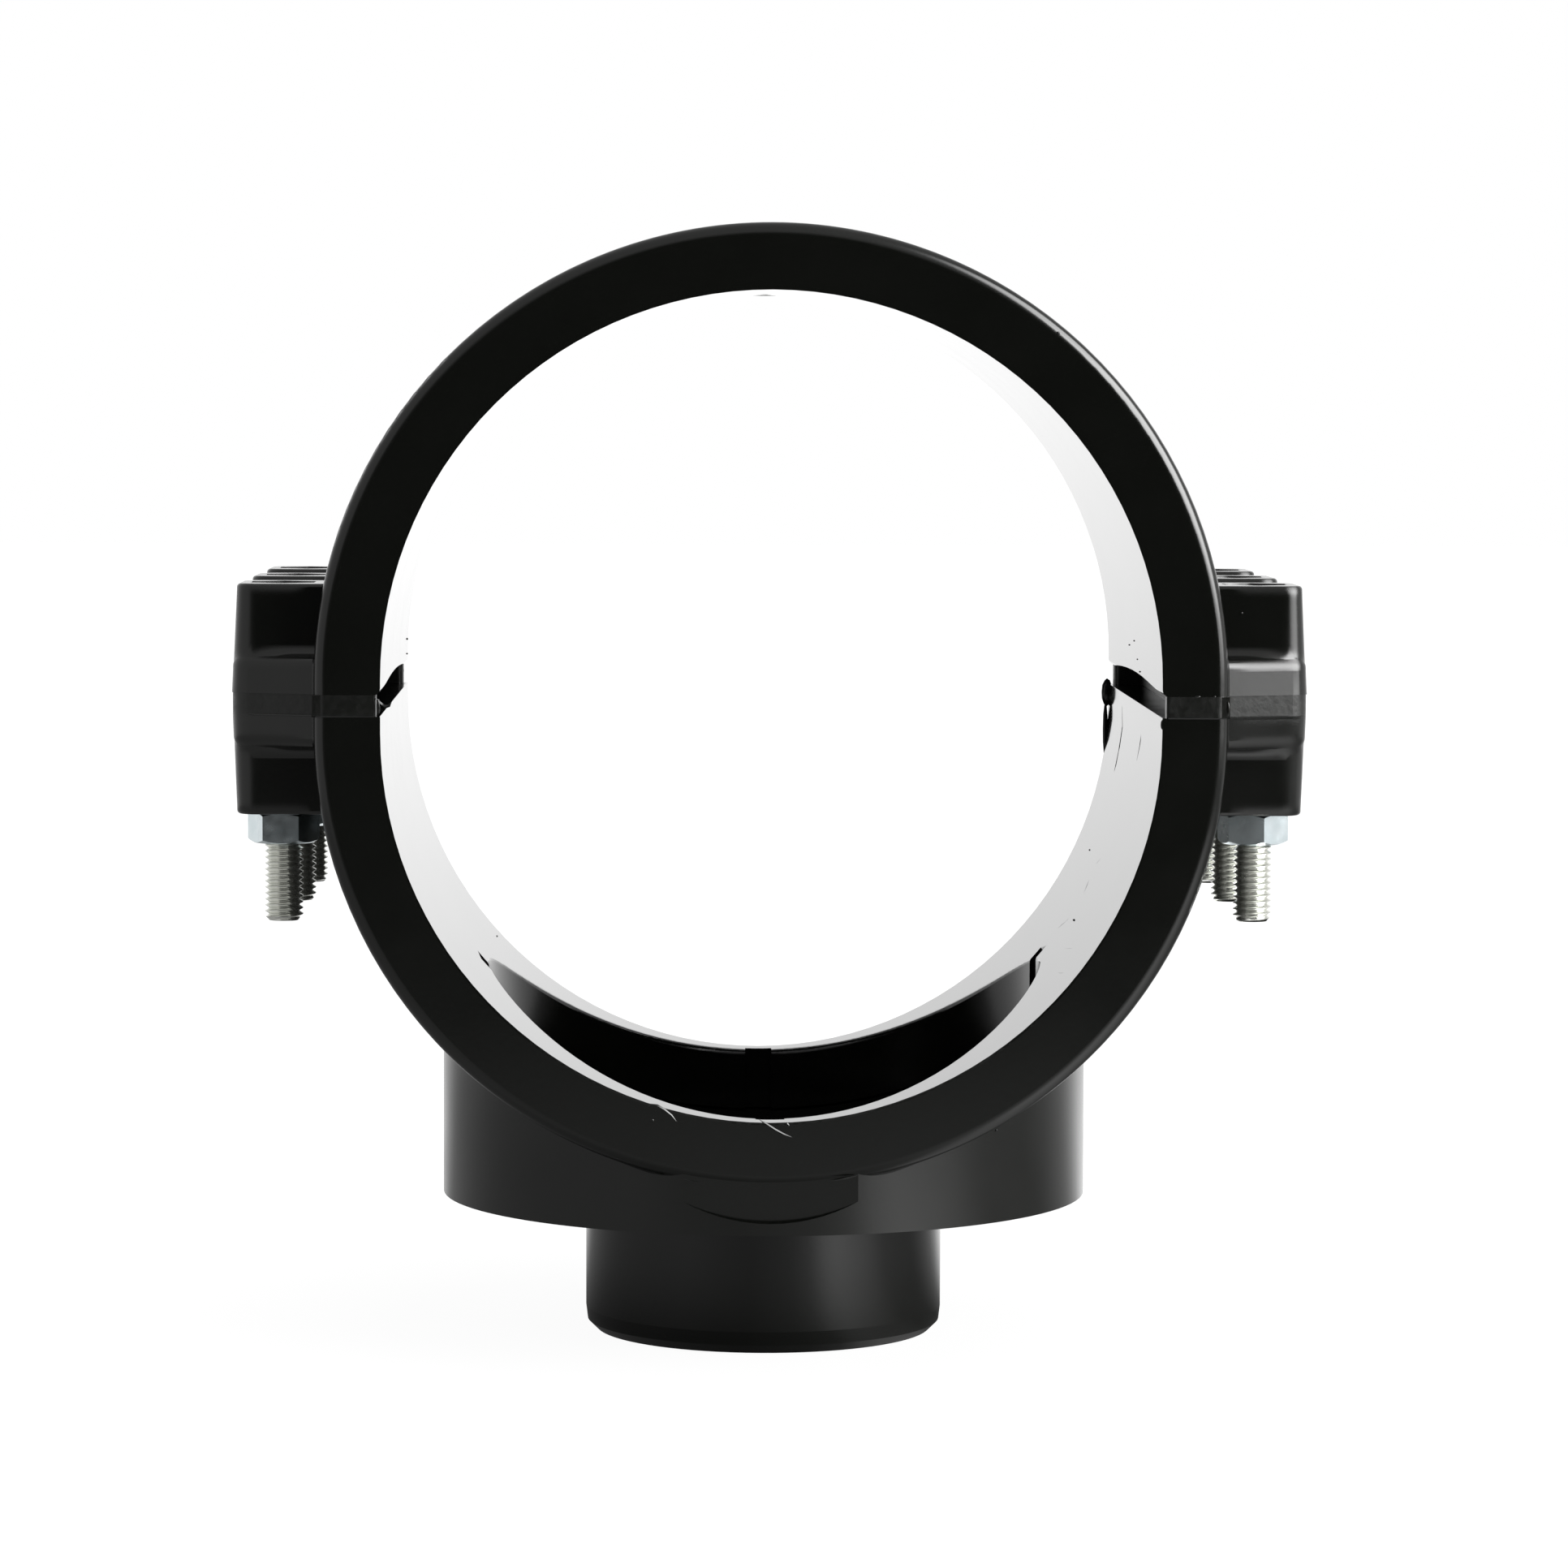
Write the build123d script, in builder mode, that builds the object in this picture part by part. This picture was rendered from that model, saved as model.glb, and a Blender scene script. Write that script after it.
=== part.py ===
from build123d import *
from math import radians, tan
import os

# Tapping saddle for a 160 mm plastic pipe, with its branch pointing down.
# X runs across the bolt lugs, Y along the pipe and Z up. The origin is the
# centre of the outlet's bottom face. All sizes are in millimetres.

os.makedirs("parts", exist_ok=True)

# Pipe seat and half rings
seat_diameter = 160.4  # bore of both halves, a 160 mm pipe with room to slip in
ring_wall = 13.8
ring_length = 134.5  # along the pipe
ring_edge_round = 2.7  # outer edge of both end faces
strap_axis_rise = 2.85  # the strap's seat axis above the parting plane
saddle_axis_drop = 7.8  # the saddle's seat axis below the parting plane

# Outlet, hub and chamber under the pipe
outlet_diameter = 77.3
outlet_length = 30.1
outlet_edge_height = 1.9  # chamfer at the outlet's lower end
outlet_edge_depth = 2.3
outlet_lead_height = 4.8  # slight taper above the chamfer
outlet_lead_depth = 0.35
thread_bore = 59.614  # major diameter of the 2 inch pipe thread, cut as a plain bore
thread_entry = 1.0  # countersink at the thread's mouth
hub_diameter = 139.3
hub_step = 9.4  # from the hub's underside up to the ring's lowest line
hub_wall = 9.65  # between the hub's outside and the chamber
chamber_floor = 7.7  # thickness of plastic under the chamber
chamber_mouth_round = 1.2
key_width = 6.0  # four keyways in the chamber wall
key_depth = 2.4
key_angles = (9, 90, 189, 270)  # degrees, anticlockwise seen from above, from the right
facet_radius = 40.0  # dished flat that brings the hub flush with the ring's ends
facet_rise = 2.5  # its lowest point above the hub's underside

# Seal lying in the chamber floor
seal_inner_diameter = 66.4
seal_width = 5.0
seal_thickness = 4.2
seal_groove_depth = 2.8
seal_side_room = 0.2
seal_edge_round = 1.2

# Lugs along both sides of both halves
lug_end_setback = 3.25  # lug root behind the ring's end face
lug_end_slope = 6.0  # how far the lug's end face slants back in plan
boss_length = 24.0  # along the pipe, at the parting plane
boss_outer_wall = 10.1  # bolt axis to the lug's outer face, at the parting plane
boss_corner = 5.0
boss_edge_round = 0.8
lug_sink = 6.0  # depth to which lugs run into the ring wall
flange_edge_round = 2.2
strap_draft = 2.7  # degrees
strap_boss_height = 22.45
strap_flange = 7.6
saddle_draft = 2.1  # degrees
saddle_boss_height = 25.3
saddle_flange = 11.3

# Land on top of the saddle's walls, where the two halves meet
land_height = 4.4
land_proud = 0.1  # past the ring's faces
land_inset = 0.2  # behind the lugs' faces
land_setback = 0.9  # behind the pipe seat
land_corner = 1.3  # on the end walls, beside the pipe seat
relief_width = 7.0  # groove between the end walls of the land
relief_end_wall = 5.0
strap_seat_round = 1.5  # strap's inner edges along the parting plane
strap_arch_rise = 2.0

# Bolts and nuts, M8
bolt_offset = 7.3  # bolt axis outside the ring
bolt_diameter = 8.0
bolt_length = 60.0
bolt_tip_chamfer = 0.9
head_height = 5.3
hex_flats = 13.0  # across the flats of heads and nuts
hex_face_diameter = 12.35  # round end face left when the corners are turned down
hex_cone_angle = 30.0
nut_height = 6.5
nut_thread_room = 0.05
nut_countersink = 0.35
pocket_room = 0.15  # around a head in its pocket
head_floor = 11.9  # plastic under a head, above the parting plane
bolt_hole_room = 0.4
nut_turns = {
    "left_front": -2.5,
    "left_middle": 24.0,
    "left_rear": -16.0,
    "right_front": -17.6,
    "right_middle": 9.0,
    "right_rear": 27.0,
}  # degrees by which each nut stopped, anticlockwise seen from above, from a flat facing the front

# Places that follow from the sizes
seat_radius = seat_diameter / 2
ring_radius = seat_radius + ring_wall
ring_end = ring_length / 2
outlet_radius = outlet_diameter / 2
thread_radius = thread_bore / 2
hub_radius = hub_diameter / 2
chamber_radius = hub_radius - hub_wall
hub_underside = outlet_length
chamber_floor_height = hub_underside + chamber_floor
saddle_axis_height = hub_underside + hub_step + ring_radius
parting_height = saddle_axis_height + saddle_axis_drop
strap_axis_height = parting_height + strap_axis_rise
land_foot = parting_height - land_height
land_inside = seat_radius + land_setback
land_outside = ring_radius + land_proud
bolt_x = ring_radius + bolt_offset
lug_outer = bolt_x + boss_outer_wall
lug_inner = ring_radius - lug_sink
lug_root_end = ring_end - lug_end_setback
boss_front = lug_root_end - lug_end_slope
row_pitch = boss_front - boss_length / 2
boss_middle_x = (lug_outer + lug_inner) / 2
head_seat = parting_height + head_floor
nut_seat = parting_height - saddle_boss_height
columns = {"left": -bolt_x, "right": bolt_x}
rows = {"front": -row_pitch, "middle": 0, "rear": row_pitch}
bolt_places = [(x, y) for x in columns.values() for y in rows.values()]
beyond = 5.0  # overrun of cutting shapes past the faces that they open


def half_ring_section(radius, axis_height, crown, flat_height):
    """A half disc with straight flanks that end at flat_height; crown is 1 up, -1 down."""
    with BuildSketch() as section:
        with BuildLine():
            Line((-radius, flat_height), (-radius, axis_height))
            ThreePointArc(
                (-radius, axis_height), (0, axis_height + crown * radius), (radius, axis_height)
            )
            Line((radius, axis_height), (radius, flat_height))
            Line((radius, flat_height), (-radius, flat_height))
        make_face()
    return section.sketch


def half_ring(axis_height, crown, flat_height):
    """Solid half ring with rounded outer edges, before its seat is cut."""
    with BuildPart() as blank:
        with BuildSketch(Plane.XZ.offset(-ring_end)):
            add(half_ring_section(ring_radius, axis_height, crown, flat_height))
        extrude(amount=ring_length)
        end_faces = blank.faces().filter_by(Axis.Y)
        rim = end_faces.edges().filter_by(lambda edge: abs(edge.center().Z - flat_height) > 0.1)
        fillet(rim, ring_edge_round)
    return blank.part


def lug_plan(side):
    """Outline of one lug at the parting plane, seen from above, run the same way round on both sides."""
    corners = [
        (side * lug_inner, -lug_root_end),
        (side * ring_radius, -lug_root_end),
        (side * lug_outer, -boss_front),
        (side * lug_outer, boss_front),
        (side * ring_radius, lug_root_end),
        (side * lug_inner, lug_root_end),
    ]
    with BuildSketch() as plan:
        with BuildLine():
            Polyline(*corners[::side], close=True)
        make_face()
        outer_corners = plan.vertices().filter_by(lambda v: abs(abs(v.X) - lug_outer) < 0.1)
        fillet(outer_corners, boss_corner)
    return plan.sketch


def flanges(direction, height, draft):
    """The flange along each side, drafted away from the parting plane; direction is 1 up, -1 down."""
    with BuildPart() as blank:
        for side in (-1, 1):
            with BuildSketch(Plane((0, 0, parting_height), x_dir=(1, 0, 0), z_dir=(0, 0, direction))):
                add(lug_plan(side))
            extrude(amount=height, taper=draft)
        far_faces = blank.faces().sort_by(Axis.Z, reverse=direction < 0)[-2:]
        fillet(far_faces.edges(), flange_edge_round)
    return blank.part


def bosses(direction, height, draft):
    """The six bolt bosses, drafted away from the parting plane; direction is 1 up, -1 down."""
    with BuildPart() as blank:
        with BuildSketch(Plane((0, 0, parting_height), x_dir=(1, 0, 0), z_dir=(0, 0, direction))):
            for side in (-1, 1):
                with Locations(*[(side * boss_middle_x, y) for y in rows.values()]):
                    RectangleRounded(lug_outer - lug_inner, boss_length, boss_corner)
        extrude(amount=height, taper=draft)
        far_faces = blank.faces().sort_by(Axis.Z, reverse=direction < 0)[-6:]
        fillet(far_faces.edges(), boss_edge_round)
    return blank.part


# Upper half: strap over the pipe
with BuildPart() as upper_strap:
    add(half_ring(strap_axis_height, 1, parting_height))
    add(flanges(1, strap_flange, strap_draft))
    add(bosses(1, strap_boss_height, strap_draft))
    with BuildSketch(Plane.XZ.offset(-ring_end - beyond)):
        add(half_ring_section(seat_radius, strap_axis_height, 1, parting_height))
    extrude(amount=ring_length + 2 * beyond, mode=Mode.SUBTRACT)
    seat_edges = upper_strap.edges().filter_by(
        lambda edge: abs(edge.center().Z - parting_height) < 0.01
        and abs(abs(edge.center().X) - seat_radius) < 0.01
    )
    fillet(seat_edges, strap_seat_round)
    arch_end = ring_end - relief_end_wall
    with BuildSketch(Plane.YZ.offset(seat_radius - beyond)) as arch:
        with BuildLine():
            ThreePointArc(
                (-arch_end, parting_height),
                (0, parting_height + strap_arch_rise),
                (arch_end, parting_height),
            )
            Line((arch_end, parting_height), (-arch_end, parting_height))
        make_face()
    arch_reach = beyond + relief_width
    right_arch = extrude(arch.sketch, amount=arch_reach, mode=Mode.SUBTRACT)
    mirror(right_arch, about=Plane.YZ, mode=Mode.SUBTRACT)
    with BuildSketch(Plane.XY.offset(head_seat)):
        with Locations(*bolt_places):
            RegularPolygon(hex_flats / 2 + pocket_room, 6, major_radius=False, rotation=30)
    extrude(amount=strap_boss_height, mode=Mode.SUBTRACT)
    with BuildSketch(Plane.XY.offset(parting_height)):
        with Locations(*bolt_places):
            Circle(bolt_diameter / 2 + bolt_hole_room)
    extrude(amount=strap_boss_height, mode=Mode.SUBTRACT)
upper_strap.part.label = "upper_strap"
export_step(upper_strap.part, "parts/upper_strap.step")

# Lower half: saddle with the chamber, the hub and the outlet
with BuildPart() as lower_saddle:
    add(half_ring(saddle_axis_height, -1, land_foot))
    add(flanges(-1, saddle_flange, saddle_draft))
    add(bosses(-1, saddle_boss_height, saddle_draft))
    with BuildSketch(Plane.XZ):
        with BuildLine():
            Polyline(
                (0, 0),
                (outlet_radius - outlet_edge_depth, 0),
                (outlet_radius - outlet_lead_depth, outlet_edge_height),
                (outlet_radius, outlet_lead_height),
                (outlet_radius, hub_underside),
                (hub_radius, hub_underside),
                (hub_radius, saddle_axis_height),
                (0, saddle_axis_height),
                close=True,
            )
        make_face()
    revolve(axis=Axis.Z)
    for end in (-1, 1):
        facet_plane = Plane((0, end * ring_end, 0), x_dir=(1, 0, 0), z_dir=(0, end, 0))
        with BuildSketch(facet_plane):
            with Locations((0, -end * (hub_underside + facet_rise + facet_radius))):
                Circle(facet_radius)
        extrude(amount=beyond, mode=Mode.SUBTRACT)
    split(bisect_by=Plane.XY.offset(land_foot), keep=Keep.BOTTOM)
    with BuildSketch(Plane.XY.offset(land_foot)) as land:
        for side in (-1, 1):
            add(lug_plan(side))
        offset(amount=-land_inset)
        for side in (-1, 1):
            with Locations((side * (land_inside + land_outside) / 2, 0)):
                Rectangle(land_outside - land_inside, ring_length + 2 * land_proud)
        with Locations((-seat_radius, 0), (seat_radius, 0)):
            Rectangle(
                2 * relief_width, ring_length - 2 * relief_end_wall, mode=Mode.SUBTRACT
            )
        wall_corners = land.vertices().filter_by(lambda v: abs(abs(v.X) - land_inside) < 0.01)
        fillet(wall_corners, land_corner)
    extrude(amount=land_height)
    with BuildSketch(Plane.XZ.offset(-ring_end - beyond)):
        add(half_ring_section(seat_radius, saddle_axis_height, -1, parting_height))
    extrude(amount=ring_length + 2 * beyond, mode=Mode.SUBTRACT)
    with BuildSketch(Plane.XZ):
        with BuildLine():
            Polyline(
                (0, 0),
                (thread_radius + thread_entry, 0),
                (thread_radius, thread_entry),
                (thread_radius, chamber_floor_height),
                (chamber_radius, chamber_floor_height),
                (chamber_radius, saddle_axis_height),
                (0, saddle_axis_height),
                close=True,
            )
        make_face()
    revolve(axis=Axis.Z, mode=Mode.SUBTRACT)
    mouth = lower_saddle.edges().filter_by(
        lambda edge: edge.center().Z > chamber_floor_height + beyond
        and abs((edge @ 0.37).X ** 2 + (edge @ 0.37).Y ** 2 - chamber_radius**2) < 0.1
    )
    fillet(mouth, chamber_mouth_round)
    with BuildSketch(Plane.XY.offset(chamber_floor_height)):
        for angle in key_angles:
            with PolarLocations(chamber_radius, 1, start_angle=angle):
                Rectangle(2 * key_depth, key_width)
    extrude(amount=saddle_axis_height - chamber_floor_height, mode=Mode.SUBTRACT)
    with BuildSketch(Plane.XY.offset(chamber_floor_height)):
        Circle(seal_inner_diameter / 2 + seal_width + seal_side_room)
        Circle(seal_inner_diameter / 2 - seal_side_room, mode=Mode.SUBTRACT)
    extrude(amount=-seal_groove_depth, mode=Mode.SUBTRACT)
    with BuildSketch(Plane.XY.offset(parting_height)):
        with Locations(*bolt_places):
            Circle(bolt_diameter / 2 + bolt_hole_room)
    extrude(amount=-saddle_boss_height, mode=Mode.SUBTRACT)
lower_saddle.part.label = "lower_saddle"
export_step(lower_saddle.part, "parts/lower_saddle.step")

# Rubber seal round the outlet's bore, lying in its groove in the chamber floor
with BuildPart() as seal_ring:
    with BuildSketch(Plane.XY.offset(chamber_floor_height - seal_groove_depth)):
        Circle(seal_inner_diameter / 2 + seal_width)
        Circle(seal_inner_diameter / 2, mode=Mode.SUBTRACT)
    extrude(amount=seal_thickness)
    fillet(seal_ring.faces().sort_by(Axis.Z)[-1].edges(), seal_edge_round)
seal_ring.part.label = "seal_ring"
export_step(seal_ring.part, "parts/seal_ring.step")


def hex_end(height):
    """Half section that turns down a hexagon's corners at its top end."""
    outside = hex_flats / 3**0.5 + hex_flats / 20  # just past the corners
    face_radius = hex_face_diameter / 2
    drop = (outside - face_radius) * tan(radians(hex_cone_angle))
    with BuildSketch() as section:
        with BuildLine():
            Polyline(
                (0, 0), (outside, 0), (outside, height - drop), (face_radius, height), (0, height),
                close=True,
            )
        make_face()
    return section.sketch


def hexagon(height):
    """Hexagonal prism with its top corners turned down, standing on the XY plane."""
    with BuildPart() as blank:
        with BuildSketch():
            RegularPolygon(hex_flats / 2, 6, major_radius=False)
        extrude(amount=height)
        with BuildSketch(Plane.XZ):
            add(hex_end(height))
        revolve(axis=Axis.Z, mode=Mode.INTERSECT)
    return blank.part


# Bolts with hexagon heads held in the strap's pockets, and nuts under the saddle's lugs
for column, x in columns.items():
    for row, y in rows.items():
        place = f"{column}_{row}"

        with BuildPart() as bolt:
            with Locations(Location((x, y, head_seat), (0, 0, 30))):
                add(hexagon(head_height))
            with BuildSketch(Plane((x, y, head_seat))):
                Circle(bolt_diameter / 2)
            extrude(amount=-bolt_length)
            chamfer(bolt.faces().sort_by(Axis.Z)[0].edges(), bolt_tip_chamfer)
        bolt.part.label = f"bolt_{place}"
        export_step(bolt.part, f"parts/bolt_{place}.step")

        with BuildPart() as nut:
            with Locations(Location((x, y, nut_seat - nut_height / 2), (0, 0, nut_turns[place]))):
                add(hexagon(nut_height / 2))
            mirror(about=Plane((x, y, nut_seat - nut_height / 2)))
            with BuildSketch(Plane((x, y, nut_seat))):
                Circle(bolt_diameter / 2 + nut_thread_room)
            extrude(amount=-nut_height, mode=Mode.SUBTRACT)
            bore_ends = nut.edges().filter_by(GeomType.CIRCLE).filter_by(
                lambda edge: abs(edge.radius - bolt_diameter / 2 - nut_thread_room) < 0.01
            )
            chamfer(bore_ends, nut_countersink)
        nut.part.label = f"nut_{place}"
        export_step(nut.part, f"parts/nut_{place}.step")
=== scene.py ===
# %% [markdown]
# # Tapping saddle
#
# A tapping saddle grips a plastic pipe between two half rings and takes a
# branch off it through the threaded outlet underneath. The solids come from
# CAD and stay as they are. This notebook gives them their finishes, and adds
# what CAD left plain: screw threads, small fillets, moulding flash and light
# knocks.

from math import cos, pi, radians, sin, tan

import bmesh
import bpy
from mathutils import Matrix, Vector


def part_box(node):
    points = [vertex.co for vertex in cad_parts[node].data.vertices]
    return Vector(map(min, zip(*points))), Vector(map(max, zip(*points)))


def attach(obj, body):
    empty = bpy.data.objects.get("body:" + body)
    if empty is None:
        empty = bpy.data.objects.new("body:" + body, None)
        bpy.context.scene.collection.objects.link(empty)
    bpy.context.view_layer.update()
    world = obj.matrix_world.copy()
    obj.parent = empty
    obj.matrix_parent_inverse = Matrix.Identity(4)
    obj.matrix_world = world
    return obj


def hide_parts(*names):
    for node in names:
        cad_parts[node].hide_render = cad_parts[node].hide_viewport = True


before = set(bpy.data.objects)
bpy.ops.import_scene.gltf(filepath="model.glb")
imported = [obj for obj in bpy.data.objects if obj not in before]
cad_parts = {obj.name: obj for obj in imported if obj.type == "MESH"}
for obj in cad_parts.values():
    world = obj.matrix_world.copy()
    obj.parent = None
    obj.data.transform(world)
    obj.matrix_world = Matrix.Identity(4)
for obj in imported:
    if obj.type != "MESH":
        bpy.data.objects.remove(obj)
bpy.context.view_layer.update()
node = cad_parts
print("CAD nodes:", ", ".join(sorted(node)))

# %% [markdown]
# ## Places that the CAD solids give
#
# Every added piece has to land on the moulding that it belongs to. Its place
# could be typed in, but then it would stay behind when the CAD moves. So
# heights and ends are read from the boxes of the solids, and only what a box
# can't tell, such as a radius, is a number here. Lengths are in metres, and
# `mm` keeps small ones readable.
#
# The two half rings meet at the parting plane. A low land runs along the top
# of the saddle there. Each half has its own axis: the strap's lies a little
# above the parting plane, the saddle's a little below it.

# %% Places
mm = 0.001

_, strap_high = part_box("upper_strap")
_, saddle_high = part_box("lower_saddle")

parting_height = saddle_high.z
land_foot = parting_height - 4.4 * mm
strap_axis_height = parting_height + 2.85 * mm
saddle_axis_height = parting_height - 7.8 * mm
ring_end = strap_high.y
lug_outer = strap_high.x
seat_radius = 80.2 * mm
ring_wall = 13.8 * mm
ring_radius = seat_radius + ring_wall
edge_round = 2.7 * mm  # outer edge of both end faces
print(f"parting plane at {parting_height / mm:.1f} mm, ring ends at {ring_end / mm:.2f} mm")

# %% [markdown]
# ## Camera
#
# The photograph seems to be taken from about 1.2 m, a little above the middle
# of the object and slightly from its left, so the inside of the far rim shows
# all round. A camera can be placed by eye, but then nothing in the picture can
# be measured against the model. This one was worked out from the circles of
# the near and far rims, whose size and distance apart the CAD gives.

# %% Camera
camera_data = bpy.data.cameras.new("camera")
camera_data.lens = 128.2
camera_data.sensor_width = 36.0
camera = bpy.data.objects.new("camera", camera_data)
camera.location = (-25.8 * mm, -1209.6 * mm, 204.7 * mm)
pan_right = radians(1.42)
tilt_down = radians(4.075)
roll_left = radians(0.2)
aim = (
    Matrix.Rotation(-pan_right, 4, "Z")
    @ Matrix.Rotation(pi / 2 - tilt_down, 4, "X")
    @ Matrix.Rotation(roll_left, 4, "Z")
)
camera.rotation_euler = aim.to_euler()
bpy.context.scene.collection.objects.link(camera)
bpy.context.scene.camera = camera
bpy.context.scene.view_settings.view_transform = "Standard"
print(f"camera: {camera_data.lens:.1f} mm lens, {camera.location.length:.2f} m from the foot")

# %% [markdown]
# ## A small kit for node trees
#
# Each finish is a tree of nodes ahead of one Principled shader, and the
# surroundings are a tree too. Such trees can be drawn by hand in the shader
# editor. In a script every node and every link takes a line, so `Nodes` has
# short ways for both: a method adds one node, feeds its sockets with numbers
# or with other nodes' outputs, and hands back its own output.


# %% Nodes
class Nodes:
    """Short ways to add and link the nodes of one tree."""

    def __init__(self, tree):
        self.tree = tree

    def add(self, kind, **settings):
        made = self.tree.nodes.new(kind)
        for key, value in settings.items():
            setattr(made, key, value)
        return made

    def feed(self, target, source):
        if isinstance(source, bpy.types.NodeSocket):
            self.tree.links.new(source, target)
        else:
            target.default_value = source

    def split(self, vector):
        made = self.add("ShaderNodeSeparateXYZ")
        self.feed(made.inputs["Vector"], vector)
        return made.outputs["X"], made.outputs["Y"], made.outputs["Z"]

    def join(self, x, y, z):
        made = self.add("ShaderNodeCombineXYZ")
        for name, source in zip("XYZ", (x, y, z)):
            self.feed(made.inputs[name], source)
        return made.outputs["Vector"]

    def vector(self, operation, first, second=None, scale=None):
        made = self.add("ShaderNodeVectorMath", operation=operation)
        self.feed(made.inputs[0], first)
        if second is not None:
            self.feed(made.inputs[1], second)
        if scale is not None:
            self.feed(made.inputs["Scale"], scale)
        return made.outputs["Value" if operation == "DOT_PRODUCT" else "Vector"]

    def math(self, operation, first, second=0.0, third=0.0):
        made = self.add("ShaderNodeMath", operation=operation)
        for socket, source in zip(made.inputs, (first, second, third)):
            self.feed(socket, source)
        return made.outputs["Value"]

    def length(self, first, second):
        squares = self.math("MULTIPLY", first, first), self.math("MULTIPLY", second, second)
        return self.math("SQRT", self.math("ADD", *squares))

    def remap(self, value, from_low, from_high, to_low, to_high):
        made = self.add("ShaderNodeMapRange")
        sources = value, from_low, from_high, to_low, to_high
        for name, source in zip(("Value", "From Min", "From Max", "To Min", "To Max"), sources):
            self.feed(made.inputs[name], source)
        return made.outputs["Result"]

    def rising(self, value, start, stop):
        """0 up to start, 1 from stop on."""
        return self.remap(value, start, stop, 0.0, 1.0)

    def blend(self, share, first, second):
        """The first value at share 0, the second at share 1."""
        return self.remap(share, 0.0, 1.0, first, second)

    def mix(self, kind, factor, first, second):
        made = self.add("ShaderNodeMix", data_type=kind)
        for name, source in zip(("Factor", "A", "B"), (factor, first, second)):
            self.feed(made.inputs[name], source)
        return made.outputs["Result"]


# %% [markdown]
# ## A kit for finishes
#
# Moulded plastic, rubber and zinc plate all vary a little from spot to spot.
# An image could hold that, but it has to be made and wrapped round the shape.
# Noise nodes need neither. They give the same pattern each run and follow the
# object when it moves, since they read its own coordinates.


# %% Finish
class Finish(Nodes):
    """A material whose Principled shader is fed by procedural nodes."""

    usual_noise = 0.3, 0.7  # most of a noise's values lie between these

    def __init__(self, name):
        self.material = bpy.data.materials.new(name)
        self.material.use_nodes = True
        super().__init__(self.material.node_tree)
        self.shader = self.tree.nodes["Principled BSDF"]

    def place(self):
        return self.add("ShaderNodeTexCoord").outputs["Object"]

    def noise(self, vector, scale, detail=3.0):
        made = self.add("ShaderNodeTexNoise")
        self.feed(made.inputs["Vector"], vector)
        made.inputs["Scale"].default_value = scale
        made.inputs["Detail"].default_value = detail
        return made.outputs["Fac"]

    def vary(self, noise, low, high):
        """A value that wanders from low to high with the noise."""
        return self.remap(noise, *self.usual_noise, low, high)

    def stretch(self, vector, scale):
        made = self.add("ShaderNodeMapping")
        self.feed(made.inputs["Vector"], vector)
        made.inputs["Scale"].default_value = scale
        return made.outputs["Vector"]

    def bump(self, height, strength, distance, normal=None):
        made = self.add("ShaderNodeBump")
        self.feed(made.inputs["Height"], height)
        self.feed(made.inputs["Strength"], strength)
        made.inputs["Distance"].default_value = distance
        if normal:
            self.feed(made.inputs["Normal"], normal)
        return made.outputs["Normal"]

    def set(self, **sockets):
        for name, source in sockets.items():
            self.feed(self.shader.inputs[name.replace("_", " ")], source)


# %% [markdown]
# ## Soft edges on the lugs
#
# The lugs and bosses are moulded, so their upright edges are rounded. A Bevel
# modifier would change the CAD mesh, which has to stay. A Bevel node rounds
# only the shading. It is kept to the steep faces of the lugs, away from the
# land, because it would blur the crisp edges elsewhere.

# %% Lug normals
lug_edge_round = 3.2 * mm
lug_start, lug_full = ring_radius + 1 * mm, ring_radius + 5 * mm
flange_start = 5.0 * mm  # measured from the parting plane, past the land
steep_limit = 0.9  # upward part of a steep face's normal, at most


def lug_normal(finish, x, z):
    """The mesh's own normal, with soft upright edges on lugs and bosses."""
    own = finish.add("ShaderNodeNewGeometry").outputs["Normal"]
    soft = finish.add("ShaderNodeBevel", samples=8)
    soft.inputs["Radius"].default_value = lug_edge_round
    on_lug = finish.rising(finish.math("ABSOLUTE", x), lug_start, lug_full)
    level = finish.math("ABSOLUTE", finish.math("SUBTRACT", z, parting_height))
    past_land = finish.math("GREATER_THAN", level, flange_start)
    upward = finish.math("ABSOLUTE", finish.split(own)[2])
    steep = finish.math("LESS_THAN", upward, steep_limit)
    softened = finish.math("MULTIPLY", finish.math("MULTIPLY", on_lug, past_land), steep)
    return finish.mix("VECTOR", softened, own, soft.outputs["Normal"])


# %% [markdown]
# ## True normals for the seat and the rims
#
# The solids reach Blender as flat facets. On the glossy seat and on the
# rounded rims the facets would show in the reflections. Smooth shading hides
# most of them, but it still bends the light at each corner. So the normals
# there are worked out from the true circle and the true rounding, wherever a
# point lies on them to within a small tolerance.

# %% Seat and rim normals
seat_tolerance = 0.12 * mm
rim_tolerance = 0.3 * mm
face_margin = 0.02 * mm  # keeps the seat's normals off the end faces


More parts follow.
